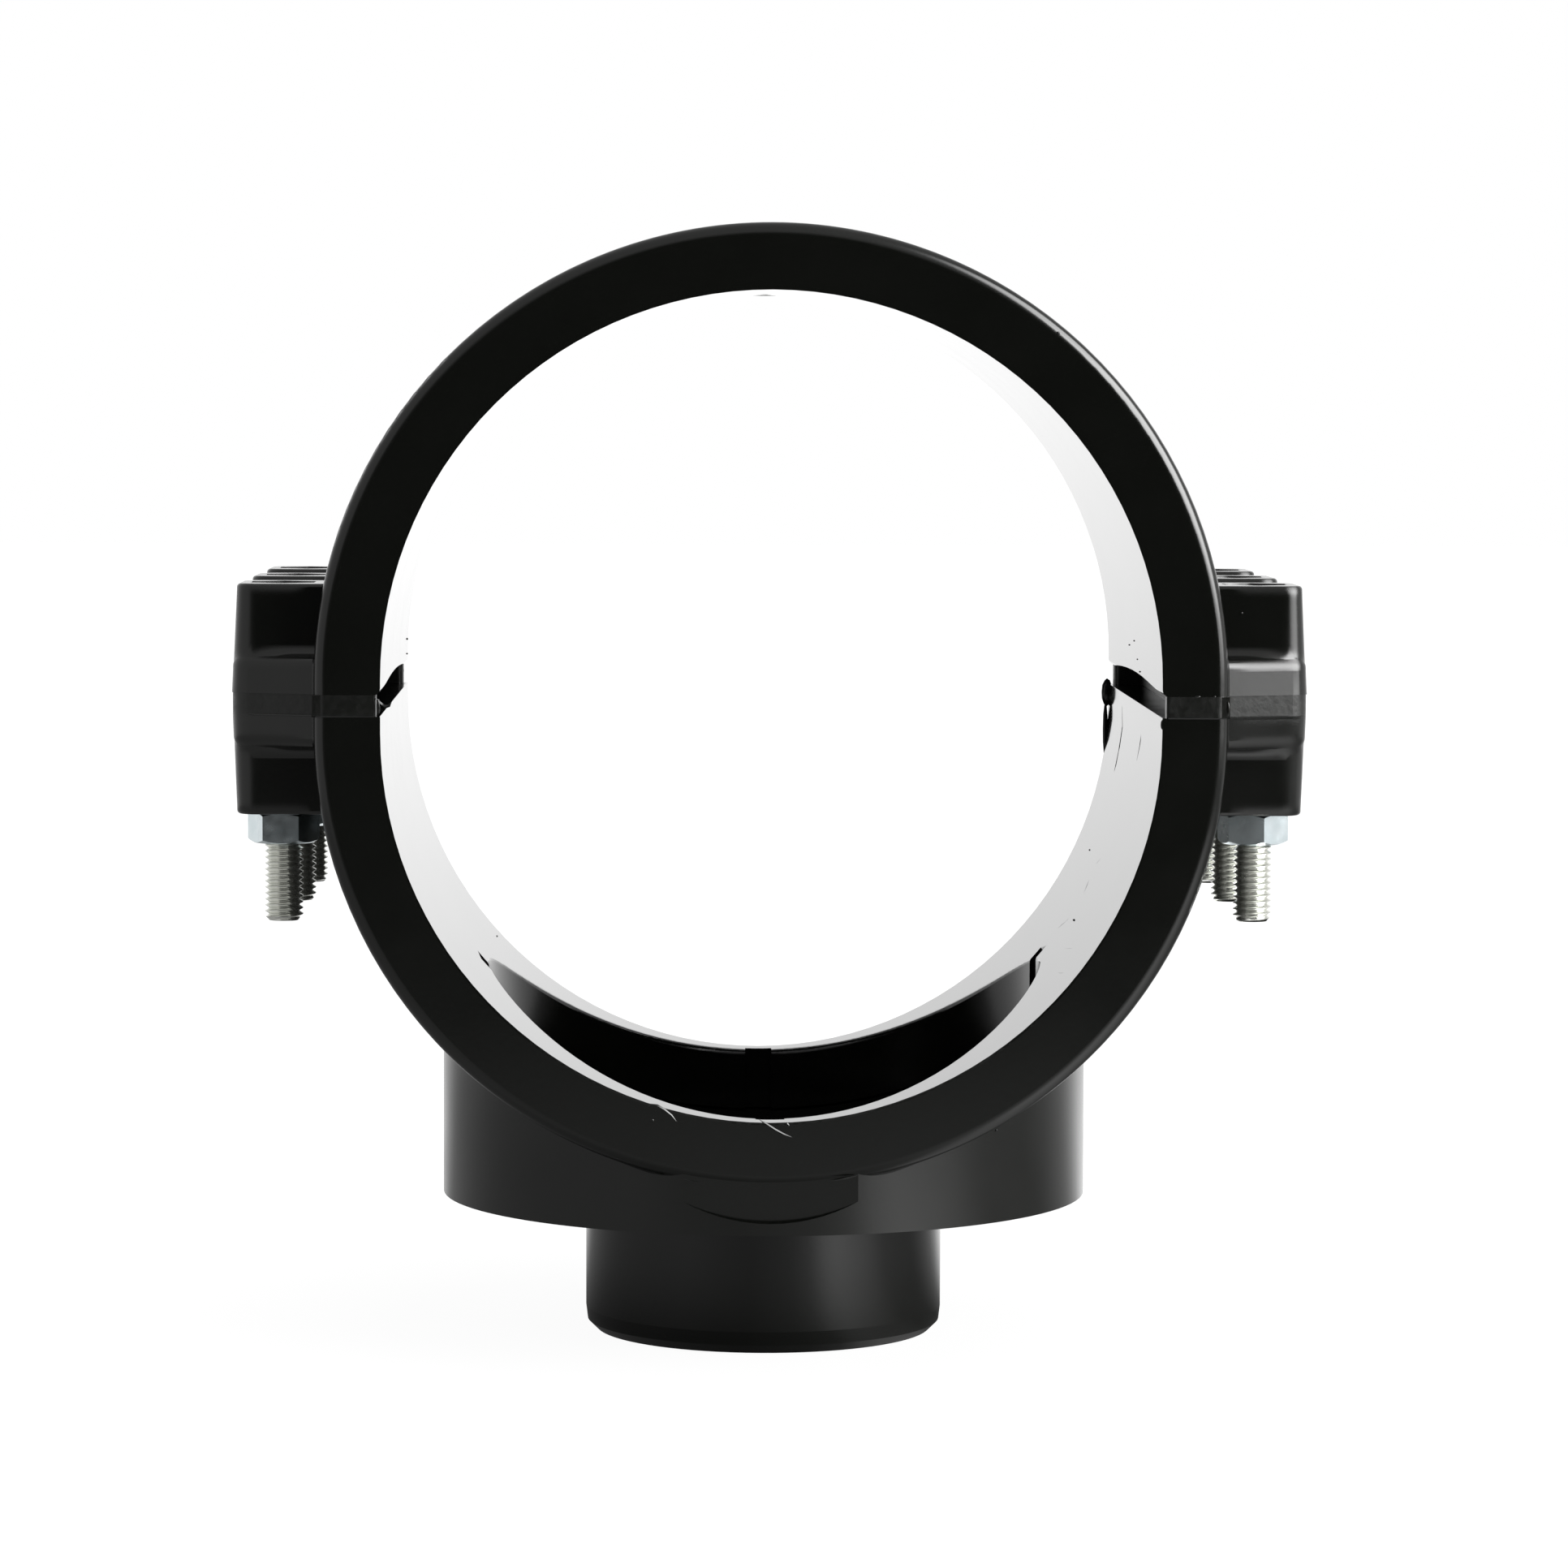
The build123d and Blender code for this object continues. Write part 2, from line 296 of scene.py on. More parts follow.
def true_normal(finish, x, y, rise, reach, own):
    """The normal of the true seat or rim, or else the given one of the mesh."""

    def past(value, limit):
        return finish.math("MAXIMUM", finish.math("SUBTRACT", value, limit), 0.0)

    outward = finish.join(
        finish.math("DIVIDE", x, reach), 0.0, finish.math("DIVIDE", rise, reach)
    )
    depth = finish.math("ABSOLUTE", y)
    out = past(reach, ring_radius - edge_round)
    along = past(depth, ring_end - edge_round)
    on_rim = finish.math("COMPARE", finish.length(out, along), edge_round, rim_tolerance)
    near_seat = finish.math("COMPARE", reach, seat_radius, seat_tolerance)
    off_face = finish.math("LESS_THAN", depth, ring_end - face_margin)
    on_seat = finish.math("MULTIPLY", near_seat, off_face)

    lengthways = finish.math("MULTIPLY", finish.math("SIGN", y), along)
    from_centre = finish.vector(
        "ADD", finish.vector("SCALE", outward, scale=out), finish.join(0.0, lengthways, 0.0)
    )
    normal = finish.mix("VECTOR", on_rim, own, finish.vector("NORMALIZE", from_centre))
    return finish.mix("VECTOR", on_seat, normal, finish.vector("SCALE", outward, scale=-1.0))


# %% [markdown]
# ## Black plastic
#
# Both half rings are moulded in black plastic, satin outside. The pipe seat
# was moulded against a polished core and is smoother, with faint long waves,
# and the land along the parting plane is a little rough. Three materials
# could be given to three groups of faces, but that would change the CAD mesh,
# and the borders would follow its facets. So one material finds both areas
# from the distance to the seat's axis and from the height. The same function
# makes the plain version for the small added pieces.

# %% Black plastic
satin_roughness = 0.16, 0.21
seat_roughness = 0.04, 0.07
land_roughness = 0.3, 0.42
satin_bump, seat_bump, land_bump = 0.03, 0.35, 0.2
bump_height = 0.2 * mm
cloud_scale, grain_scale, wave_scale = 60, 900, 55
wave_stretch = (1, 0.15, 1)  # long waves run along the pipe
darkest, palest = (0.0039, 0.0044, 0.0034, 1), (0.0056, 0.0062, 0.0049, 1)


def black_plastic(name, axis_height=None, keep=None):
    """Satin plastic. With an axis height it also knows the seat, the rims and the land.

    keep is MAXIMUM for a half ring above its axis and MINIMUM for one below.
    """
    finish = Finish(name)
    at = finish.place()
    cloud = finish.noise(at, cloud_scale, 4)
    grain = finish.noise(at, grain_scale, 2)
    roughness = finish.vary(cloud, *satin_roughness)
    strength, normal = satin_bump, None
    if keep:
        x, y, z = finish.split(at)
        rise = finish.math(keep, finish.math("SUBTRACT", z, axis_height), 0.0)
        reach = finish.length(x, rise)
        seat = finish.remap(reach, seat_radius + 0.3 * mm, seat_radius + 0.5 * mm, 1.0, 0.0)
        above_foot = finish.rising(z, land_foot, land_foot + 0.2 * mm)
        below_top = finish.remap(z, parting_height, parting_height + 0.1 * mm, 1.0, 0.0)
        land = finish.math("MULTIPLY", above_foot, below_top)
        roughness = finish.blend(land, roughness, finish.vary(grain, *land_roughness))
        roughness = finish.blend(seat, roughness, finish.vary(cloud, *seat_roughness))
        strength = finish.blend(land, finish.blend(seat, satin_bump, seat_bump), land_bump)
        long_waves = finish.noise(finish.stretch(at, wave_stretch), wave_scale, 2)
        grain = finish.mix("FLOAT", seat, grain, long_waves)
        normal = true_normal(finish, x, y, rise, reach, lug_normal(finish, x, z))
    finish.set(
        Base_Color=finish.mix("RGBA", cloud, darkest, palest),
        Roughness=roughness,
        Normal=finish.bump(grain, strength, bump_height, normal),
        IOR=1.49,
    )
    return finish.material


# %% Plastic coats
coats = {
    "upper_strap": black_plastic("strap_plastic", strap_axis_height, "MAXIMUM"),
    "lower_saddle": black_plastic("saddle_plastic", saddle_axis_height, "MINIMUM"),
}
plain_plastic = black_plastic("plain_plastic")
for coat in (*coats.values(), plain_plastic):
    print(f"{coat.name}: {len(coat.node_tree.nodes)} nodes")

# %% [markdown]
# ## Rubber
#
# A rubber ring in the chamber's floor seals the branch. Rubber looks dull
# because its skin is uneven at a scale too fine to see. A flat grey would do
# from far away. Close up, a high roughness that varies and a slight bump keep
# it from looking like the plastic around it.

# %% Rubber
rubber = Finish("dull_rubber")
at = rubber.place()
rubber.set(
    Base_Color=rubber.mix(
        "RGBA", rubber.noise(at, 200), (0.016, 0.016, 0.017, 1), (0.028, 0.028, 0.03, 1)
    ),
    Roughness=rubber.vary(rubber.noise(at, 300), 0.55, 0.75),
    Normal=rubber.bump(rubber.noise(at, 700), 0.15, 0.2 * mm),
)
coats["seal_ring"] = rubber.material
print(f"{rubber.material.name}: {len(rubber.tree.nodes)} nodes")

# %% [markdown]
# ## Zinc plate
#
# Bolts and nuts are steel with bright zinc plate. A metal with one roughness
# looks like a mirror or like paint. Real plate is a little duller in some
# spots than in others, and so are tint and roughness here. The nuts are
# bluer than the bolts, as parts from two batches are.


# %% Zinc plate
def zinc_plate(name, dull, bright):
    """Plated steel whose tint goes from dull to bright."""
    finish = Finish(name)
    at = finish.place()
    finish.set(
        Base_Color=finish.mix("RGBA", finish.noise(at, 300), dull, bright),
        Metallic=0.97,
        Roughness=finish.vary(finish.noise(at, 500, 5), 0.16, 0.28),
        Normal=finish.bump(finish.noise(at, 500, 4), 0.12, 0.1 * mm),
    )
    return finish.material


nut_zinc = zinc_plate("nut_zinc", (0.66, 0.76, 0.79, 1), (0.84, 0.9, 0.92, 1))
bolt_zinc = zinc_plate("bolt_zinc", (0.72, 0.74, 0.68, 1), (0.92, 0.92, 0.88, 1))

for name, solid in node.items():
    for slot in solid.material_slots:
        slot.material = coats.get(name, nut_zinc)
print("finishes:", ", ".join(material.name for material in bpy.data.materials if material.users))

# %% [markdown]
# ## Added pieces
#
# Threads, fillets and marks are meshes of their own. Each one rides on the
# body that its solid belongs to, so it moves with it when the strap lifts,
# and each gets one of the finishes made above.


# %% Piece helper
def add_piece(name, shape, coat, body, smooth_angle=40):
    """Makes an object from a bmesh and lets it ride on a CAD body."""
    bmesh.ops.recalc_face_normals(shape, faces=shape.faces)
    mesh = bpy.data.meshes.new(name)
    shape.to_mesh(mesh)
    shape.free()
    mesh.shade_smooth()
    mesh.set_sharp_from_angle(angle=radians(smooth_angle))
    mesh.materials.append(coat)
    piece = bpy.data.objects.new(name, mesh)
    bpy.context.scene.collection.objects.link(piece)
    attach(piece, body)
    print(f"{name}: {len(mesh.vertices)} points")
    return piece


def on_circle(centre, radius, angle, height):
    return centre.x + radius * cos(angle), centre.y + radius * sin(angle), height


# %% [markdown]
# ## Bolts
#
# Six M8 bolts hang in the strap and reach down through the saddle's lugs. In
# CAD they are plain, so the ones here take their places. A thread could be
# made with the Screw modifier, but it would stop dead at both ends. Here it
# is a grid of points wound round the axis. Each turn climbs one pitch and the
# rows follow the thread's profile, so crests and roots run cleanly along the
# helix, start at the chamfered tip and fade out into the shank.

# %% Thread rows
bolt_radius = 4.0 * mm
bolt_pitch = 1.25 * mm
thread_depth = 0.6134 * bolt_pitch
thread_length = 24 * mm
runout_turns = 1.5
tip_chamfer = 0.9 * mm
tip_radius = bolt_radius - tip_chamfer
# shares of the pitch and of the depth
thread_profile = [(0.0, 0.0), (0.125, 0.0), (0.4375, 0.88), (0.5625, 1.0), (0.6875, 0.88)]
bolt_segments = 48
bolt_angles = [2 * pi * step / bolt_segments for step in range(bolt_segments)]


def thread_rows(shape, centre, tip, phase):
    """Rows of points round the shank. Each row climbs one pitch on its way round."""
    rows = []
    for turn in range(-1, int(thread_length / bolt_pitch) + 2):
        for share, depth in thread_profile:
            row = []
            for angle in bolt_angles:
                height = (turn + share + phase + angle / (2 * pi)) * bolt_pitch
                fade = min(1.0, max(0.0, (thread_length - height) / (runout_turns * bolt_pitch)))
                height = max(height, 0.0)
                radius = min(bolt_radius - depth * thread_depth * fade, tip_radius + height)
                row.append(shape.verts.new(on_circle(centre, radius, angle, tip + height)))
            rows.append(row)
    return rows


# %% Bolt shank
def bolt_shank(shape, centre, tip, top, phase):
    """A shank threaded from its tip upwards. Returns the level ring of points at its top."""
    rows = thread_rows(shape, centre, tip, phase)
    top_ring = [
        shape.verts.new(on_circle(centre, bolt_radius, angle, top)) for angle in bolt_angles
    ]
    for lower, upper in zip(rows, rows[1:] + [top_ring]):
        for step in range(bolt_segments - 1):
            shape.faces.new((lower[step], lower[step + 1], upper[step + 1], upper[step]))
    # a row ends where the row of the next turn begins
    per_turn = len(thread_profile)
    for index in range(len(rows) - per_turn):
        first, second = rows[index], rows[index + per_turn]
        if index + per_turn + 1 < len(rows):
            shape.faces.new(
                (first[-1], second[0], rows[index + per_turn + 1][0], rows[index + 1][-1])
            )
    last_seam = [row[-1] for row in rows[-per_turn - 1:]]
    shape.faces.new([rows[-1][0]] + last_seam + [top_ring[-1], top_ring[0]])
    shape.faces.new(
        [shape.verts.new(on_circle(centre, tip_radius, angle, tip)) for angle in bolt_angles]
    )
    return top_ring


# %% [markdown]
# The head is a hexagon whose corners are cut by a flat cone, as on a turned
# bolt. A cylinder with six sides would miss that. Its outline takes as many
# points as the shank, so head and shank join in clean rows.

# %% Bolt head
half_flats = 6.5 * mm
head_face_radius = 0.95 * half_flats
head_slope = tan(radians(30))
head_height = 5.3 * mm


def bolt_head(shape, centre, top, neck):
    """A hexagon head with a coned top, joined to the shank's top ring."""
    corner_angle = pi / 3
    foot, shoulder, face = [], [], []
    for angle in bolt_angles:
        radius = half_flats / cos((angle + pi / 6) % corner_angle - corner_angle / 2)
        drop = (radius - head_face_radius) * head_slope
        foot.append(shape.verts.new(on_circle(centre, radius, angle, top - head_height)))
        shoulder.append(shape.verts.new(on_circle(centre, radius, angle, top - drop)))
        face.append(shape.verts.new(on_circle(centre, head_face_radius, angle, top)))
    for lower, upper in ((neck, foot), (foot, shoulder), (shoulder, face)):
        for step in range(bolt_segments):
            shape.faces.new((lower[step - 1], lower[step], upper[step], upper[step - 1]))
    shape.faces.new(face)


# %% Bolts
phase_step = 0.17  # no two threads start at the same angle
bolt_names = [name for name in node if name.startswith("bolt_")]
all_bolts = bmesh.new()
for number, name in enumerate(sorted(bolt_names)):
    low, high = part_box(name)
    centre = (low + high) / 2
    top_ring = bolt_shank(all_bolts, centre, low.z, high.z - head_height, phase_step * number)
    bolt_head(all_bolts, centre, high.z, top_ring)
bmesh.ops.remove_doubles(all_bolts, verts=all_bolts.verts, dist=0.001 * mm)
bolts = add_piece(
    "threaded_bolts", all_bolts, bolt_zinc, "strap", smooth_angle=35
)
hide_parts(*bolt_names)

# %% [markdown]
# ## Outlet thread
#
# The branch screws into a 2 inch pipe thread, which CAD left as a plain bore
# at the thread's full width. Cutting a groove would change the solid. So one
# long ridge with the thread's profile is laid along a helix inside the bore,
# with its foot just inside the plastic and both ends fading out.


# %% Loft helper
def loft(shape, sections):
    """Skins a row of closed outlines and caps both ends."""
    loops = [[shape.verts.new(point) for point in section] for section in sections]
    for lower, upper in zip(loops, loops[1:]):
        for index in range(len(lower)):
            shape.faces.new((lower[index - 1], lower[index], upper[index], upper[index - 1]))
    shape.faces.new(loops[0])
    shape.faces.new(loops[-1])


# %% Outlet thread
outlet_root = 29.85 * mm
outlet_crest = 28.33 * mm
outlet_pitch = 2.309 * mm
outlet_turns = 11
outlet_steps = 90
outlet_start = 2.6 * mm
root_share, crest_share = 0.47, 0.09  # half widths, as shares of the pitch
end_share, fade_in, fade_out = 0.06, 3, 2  # height at the ends, and its rise per turn

sections = []
for step in range(outlet_turns * outlet_steps + 1):
    turn = step / outlet_steps
    fade = min(1.0, end_share + fade_in * turn, end_share + fade_out * (outlet_turns - turn))
    crest = outlet_root - fade * (outlet_root - outlet_crest)
    middle = outlet_start + turn * outlet_pitch
    outline = []
    for radius, share in (
        (outlet_root, -root_share), (crest, -crest_share),
        (crest, crest_share), (outlet_root, root_share),
    ):
        height = middle + share * outlet_pitch
        outline.append(on_circle(Vector(), radius, 2 * pi * turn, height))
    sections.append(outline)
ridge = bmesh.new()
loft(ridge, sections)
add_piece("outlet_thread", ridge, plain_plastic, "saddle", smooth_angle=30)

# %% [markdown]
# ## Fillets beside the bosses
#
# The side faces of the bosses run into the flanges in a hollow curve, which
# catches a soft line of light. Shading alone can't fill a corner, so each
# fillet is a strip across the lug with a curved section. It gets slimmer
# where the ledge in front of the boss runs out, and towards the lug's outer
# edge. The faces lean by the draft that lets the moulding leave its mould.

# %% Fillet sizes
boss_rows = [row * mm for row in (-46, 0, 46)]
boss_half_length = 12 * mm
boss_corner = 5 * mm
lug_root_end = 64 * mm
fillet_radius = 2.3 * mm
flange_round = 2.2 * mm
least_ledge = 0.3 * mm
ledge_share = 0.8  # of the ledge at the lug's end that a fillet may take
slim_margin = 2.4 * mm  # from the outer edge, where a fillet starts to get slimmer


def ledge_width(x, row, facing, shrink):
    """Flange beside a boss, up to its end face or half-way to the next boss."""
    if row * facing <= 0:
        return boss_rows[2] / 2 - boss_half_length
    share = (x - ring_radius) / (lug_outer - ring_radius)
    boss_front = boss_rows[2] + boss_half_length
    return (lug_root_end - boss_front) * (1 - share) - 0.2 * shrink


# %% Fillet strip
fillet_steps = 14
curve_shares = (0, 0.2, 0.4, 0.6, 0.8, 1)
ring_overlap = 1.5 * mm
outer_margin = 0.9 * mm
skin = 0.03 * mm  # how deep a strip's edges lie in the plastic
back_depth, back_inset = 0.6 * mm, 0.4 * mm  # of its hidden back edge


def boss_fillet(shape, side, row, facing, up, flange_height, draft):
    """One strip; side and facing are the signs of x and y, up is 1 on the strap and -1 below."""
    shrink = flange_height * tan(radians(draft))
    outer = lug_outer - shrink
    level = parting_height + up * flange_height
    start, stop = ring_radius - ring_overlap, outer - outer_margin
    outlines = []
    for step in range(fillet_steps + 1):
        x = start + (stop - start) * step / fillet_steps
        past_corner = max(0.0, x - (outer - boss_corner))
        straight = boss_half_length - shrink - boss_corner
        wall = straight + (boss_corner ** 2 - past_corner ** 2) ** 0.5
        slim = min(1.0, (outer - x) / slim_margin)
        ledge = max(least_ledge, ledge_width(x, row, facing, shrink))
        at_end = row * facing > 0
        reach = min(fillet_radius, ledge_share * ledge) if at_end else fillet_radius * slim
        beside = max(0.0, flange_round - min(ledge - reach, outer - x))
        drop = flange_round - (flange_round ** 2 - beside ** 2) ** 0.5
        outline = []
        for share in curve_shares:
            turn = share * pi / 2
            y = wall + reach * (1 - cos(turn)) - skin
            z = fillet_radius * slim * (1 - sin(turn)) - drop * sin(turn) ** 3 - skin
            outline.append((side * x, row + facing * y, level + up * z))
        sunk = level - up * (drop + back_depth)
        outline.append((side * x, row + facing * (wall - back_inset), sunk))
        outlines.append(outline)
    loft(shape, outlines)


# %% Fillets
# body, direction from the parting plane, flange height, draft in degrees
fillet_sets = {
    "strap_fillets": ("strap", 1, 7.6 * mm, 2.7),
    "saddle_fillets": ("saddle", -1, 11.3 * mm, 2.1),
}
for name, (body, up, flange_height, draft) in fillet_sets.items():
    strips = bmesh.new()
    for side in (-1, 1):
        for row in boss_rows:
            for facing in (-1, 1):
                boss_fillet(strips, side, row, facing, up, flange_height, draft)
    add_piece(name, strips, plain_plastic, body)

# %% [markdown]
# ## Marks on the saddle
#
# The saddle has two scuffs on its front face below the seat, short lines
# beside the hub's dished flat, and specks and scratches on the seat. They
# could be drawn in the finish, but what makes them show is that they catch
# the light. So each is a small ridge or lump with its foot sunk in the
# plastic. Their places are in millimetres.

# %% Ridge helper
foot_depth = 0.05 * mm


def point(x, y, z):
    return Vector((x, y, z)) * mm


def ridge_along(shape, path, width, height, outward, end_share=0.1):
    """A ridge along a path, lower and narrower at its ends."""
    last = len(path) - 1
    outlines = []
    for index, middle in enumerate(path):
        ahead = path[min(index + 1, last)] - path[max(index - 1, 0)]
        up = outward(middle)
        across = ahead.cross(up).normalized() * width / 2
        swell = end_share + (1 - end_share) * sin(pi * index / last) ** 0.5
        foot = middle - up * foot_depth
        top = middle + up * height * swell
        outlines.append([foot - across * swell, top, foot + across * swell, foot - up * foot_depth])
    loft(shape, outlines)


# %% Speck helper
def speck(shape, middle, size):
    """A small rounded lump of the given width, depth and height."""
    grow = Matrix.Translation(middle) @ Matrix.Diagonal((*(Vector(size) * mm / 2), 1))
    bmesh.ops.create_icosphere(shape, subdivisions=2, radius=1, matrix=grow)


def toward_axis(axis_height):
    return lambda place: Vector((-place.x, 0, axis_height - place.z)).normalized()


def forward(place):
    return Vector((0, -1, 0))


def from_hub(place):
    return Vector((place.x, place.y, 0)).normalized()


# %% Scuffs on the front face
marks = bmesh.new()
front = -ring_end / mm
scuff_width, scuff_height = 0.7 * mm, 0.18 * mm
face_scuffs = [
    [(-25.6, 56.2), (-24.7, 57.0), (-23.4, 56.8), (-21.9, 56.0), (-20.4, 54.8), (-19.4, 53.6)],
    [(-2.4, 54.0), (-0.8, 53.0), (1.0, 51.8), (2.7, 50.9), (4.4, 50.3)],
    [(2.9, 53.3), (3.4, 53.1), (3.9, 52.7)],
]
for scuff in face_scuffs:
    path = [point(x, front, z) for x, z in scuff]
    ridge_along(marks, path, scuff_width, scuff_height, forward)
print(f"{len(face_scuffs)} scuffs on the front face")

# %% Scratches on the seat
scratch_width, scratch_height = 0.35 * mm, 0.06 * mm
seat_scratches = [
    [(80.2, 30.2, 134.0), (80.1, 27.5, 129.6), (79.6, 31.1, 123.9), (78.8, 33.9, 118.7)],
    [(80.2, -19.4, 131.6), (80.0, -17.5, 128.2), (79.7, -13.5, 124.6)],
    [(75.6, -7.6, 106.8), (74.5, 0.5, 103.6), (73.1, 9.0, 100.6)],
    [(71.5, 8.6, 97.2), (70.0, 4.8, 94.3), (68.9, 4.7, 92.4)],
    [(67.9, 4.7, 90.8), (66.3, 4.3, 88.3), (65.4, 7.6, 87.1), (64.4, 10.6, 85.7)],
    [(63.8, -21.9, 84.9), (64.4, -30.0, 85.7), (65.0, -37.9, 86.5)],
    [(61.1, -39.9, 81.6), (61.4, -44.0, 81.9), (61.7, -47.0, 82.3)],
]
inward = toward_axis(saddle_axis_height)
for scratch in seat_scratches:
    path = [point(*place) for place in scratch]
    ridge_along(marks, path, scratch_width, scratch_height, inward)
print(f"{len(seat_scratches)} scratches on the saddle's seat")

# %% Lines and specks
hub_radius = 69.65
line_width, line_height = 0.5 * mm, 0.1 * mm
hub_lines = [
    [(-31.6, 45.2), (-23.5, 42.6), (-14.7, 40.9)],
    [(12.6, 41.3), (15.6, 41.8), (18.6, 42.5)],
]
for line in hub_lines:
    path = [point(x, -(hub_radius ** 2 - x ** 2) ** 0.5, z) for x, z in line]
    ridge_along(marks, path, line_width, line_height, from_hub)
for place, size in (
    ((-24.4, front, 53.8), (0.8, 0.4, 0.7)), ((67.0, -6.2, 89.5), (0.6, 1.2, 0.5)),
    ((73.5, 33.8, 101.4), (0.5, 1.6, 0.5)), ((-59.6, 55.1, 79.8), (0.6, 3.0, 0.5)),
    ((47.6, -50.9, 49.6), (0.5, 0.5, 0.6)),
):
    speck(marks, point(*place), size)
print(f"{len(hub_lines)} lines beside the hub's flat")

# %% [markdown]
# ## Flash round the land
#
# Where the two mould halves met, a little plastic squeezed out along the foot
# of the land, with burrs at its ends. A bump in the finish would vanish
# against the edge, which is where flash shows. So it is a thin ridge that
# follows the outline of ring and lug, with small lumps for the burrs. It
# shares a piece with the marks above.

# %% Land foot
face_stretch = 94 * mm  # out to here the foot follows the ring's front face
side_stretch = 56 * mm  # up to here it follows the lug's outer face


def land_foot_path(side):
    """Along the ring's face and round the lug, from the seat outwards."""
    plan = [(81.4, front - 0.1), (87.0, front - 0.1), (93.4, front - 0.1), (94.3, front + 1.5)]
    plan += [(94.4, -63.95), (98.0, -62.7), (102.0, -61.35), (105.6, -60.1)]
    plan += [(107.6, -59.1), (109.2, -57.8), (110.4, -56.0)]
    plan += [(111.1, -53.5), (111.15, -30.0), (111.15, 0.0), (111.15, 30.0), (111.1, 53.5)]
    plan += [(109.2, 57.8), (105.6, 60.1)]
    return [Vector((side * x * mm, y * mm, land_foot)) for x, y in plan]


def out_of_land(place):
    """Level and away from the plastic: off the front face, the lug's end or its outer face."""
    if abs(place.x) < face_stretch:
        return Vector((0, -1, 0))
    if abs(place.y) < side_stretch:
        return Vector((1 if place.x > 0 else -1, 0, 0))
    return Vector((0.33 if place.x > 0 else -0.33, 1 if place.y > 0 else -1, 0)).normalized()


# %% Flash and burrs
flash_width, flash_height, flash_end_share = 0.35 * mm, 0.12 * mm, 0.8
curl_width, curl_height = 0.8 * mm, 0.3 * mm
for side in (-1, 1):
    path = land_foot_path(side)
    ridge_along(marks, path, flash_width, flash_height, out_of_land, flash_end_share)
curl = [(-81.3, 140.9), (-80.2, 139.6), (-79.3, 138.9), (-78.4, 139.2), (-77.9, 139.9)]
path = [point(x, front + 0.7, z) for x, z in curl]
ridge_along(marks, path, curl_width, curl_height, forward)
for place, size in (
    ((79.8, 66.5, 135.0), (2.6, 1.4, 6.4)), ((79.5, 66.8, 126.5), (1.2, 0.9, 13.0)),
    ((80.2, front + 0.4, 135.6), (0.7, 0.6, 2.0)), ((-82.1, 66.5, 139.6), (2.2, 1.4, 2.2)),
    ((-80.6, front + 0.4, 139.0), (0.8, 0.7, 3.4)), ((93.6, front - 0.05, 138.9), (0.9, 0.3, 3.4)),
):
    speck(marks, point(*place), size)
add_piece("saddle_marks", marks, plain_plastic, "saddle")

# %% [markdown]
# ## Marks on the strap
#
# The strap has fewer marks: specks beside the joint and on its face, and two
# fine scratches on the crown of its seat. They are made as the saddle's are,
# but as a piece of their own, because they lift with the strap.

# %% Marks on the strap
marks = bmesh.new()
for place, size in (
    ((80.0, -1.9, 149.9), (0.5, 1.4, 0.4)), ((80.1, 11.3, 148.4), (0.5, 1.2, 0.4)),
    ((80.2, -8.2, 146.2), (0.5, 1.4, 0.4)), ((80.2, -14.1, 143.8), (0.5, 1.0, 0.4)),
    ((-80.1, 60.5, 147.1), (0.5, 1.0, 0.5)), ((-80.2, 61.6, 143.7), (0.5, 1.0, 0.4)),
    ((58.2, front + 0.1, 215.7), (0.8, 0.5, 0.7)), ((87.4, front, 141.4), (1.3, 0.4, 0.4)),
    ((90.9, front, 141.4), (0.6, 0.4, 0.4)), ((97.4, -57.4, 158.2), (0.5, 0.4, 0.5)),
):
    speck(marks, point(*place), size)
inward = toward_axis(strap_axis_height)
for start, end, height in ((5.7, 8.6, 224.3), (-20.0, 4.0, 224.35)):
    middle = (start + end) / 2
    path = [point(-4.6, start, height), point(-0.8, middle, height), point(3.0, end, height)]
    ridge_along(marks, path, scratch_width, scratch_height, inward)
add_piece("strap_marks", marks, plain_plastic, "strap")

# %% [markdown]
# ## Surroundings
#
# Black plastic shows little but what it mirrors, so the surroundings matter
# more than the lamps. The photograph looks as if taken in a white tent: a
# bright wall behind the object, grey ones at its sides, a large soft box at
# the right and a dark place at the camera. Walls and boxes could be built as
# objects. Two ramps are lighter and easier to set: they give the brightness
# that a glossy surface sees in each direction, one for the walls and one for
# the floor. Azimuths run from the camera's side towards the right.

# %% Brightness by direction
wall_stops = [
    (-180, 1.22), (-164, 1.18), (-150, 0.95), (-118, 0.85),
    (-95, 0.66), (-40, 0.6), (-30, 0.12), (-13, 0.04), (30, 0.02),
    (74, 0.3), (90, 0.9), (118, 0.75), (132, 0.8), (146, 1.15), (155, 1.25), (180, 1.22),
]
# Painted light on the floor, seen only in reflections: brightest at the right front, where the soft
# box would light the paper.
floor_painted_light_stops = [
    (-180, 1.2), (-150, 0.8), (-136, 0.4), (-101, 0.31), (-46, 0.4), (-8, 0.31), (14, 0.45),
    (26, 0.75), (34, 1.55), (42, 1.75), (61, 1.05), (74, 0.5), (99, 0.26), (124, 0.57),
    (142, 1.3), (180, 1.2),
]
print(f"{len(wall_stops)} stops for the walls, {len(floor_painted_light_stops)} for the floor")


# %% Ramp helpers
def ramp(nodes, value, stops):
    """Level along a ramp, from pairs of position and level."""
    made = nodes.add("ShaderNodeValToRGB")
    nodes.feed(made.inputs["Fac"], value)
    elements = made.color_ramp.elements
    while len(elements) < len(stops):
        elements.new(0.5)
    for element, (position, level) in zip(elements, stops):
        element.position = position
        element.color = (level, level, level, 1)
    return made.outputs["Color"]


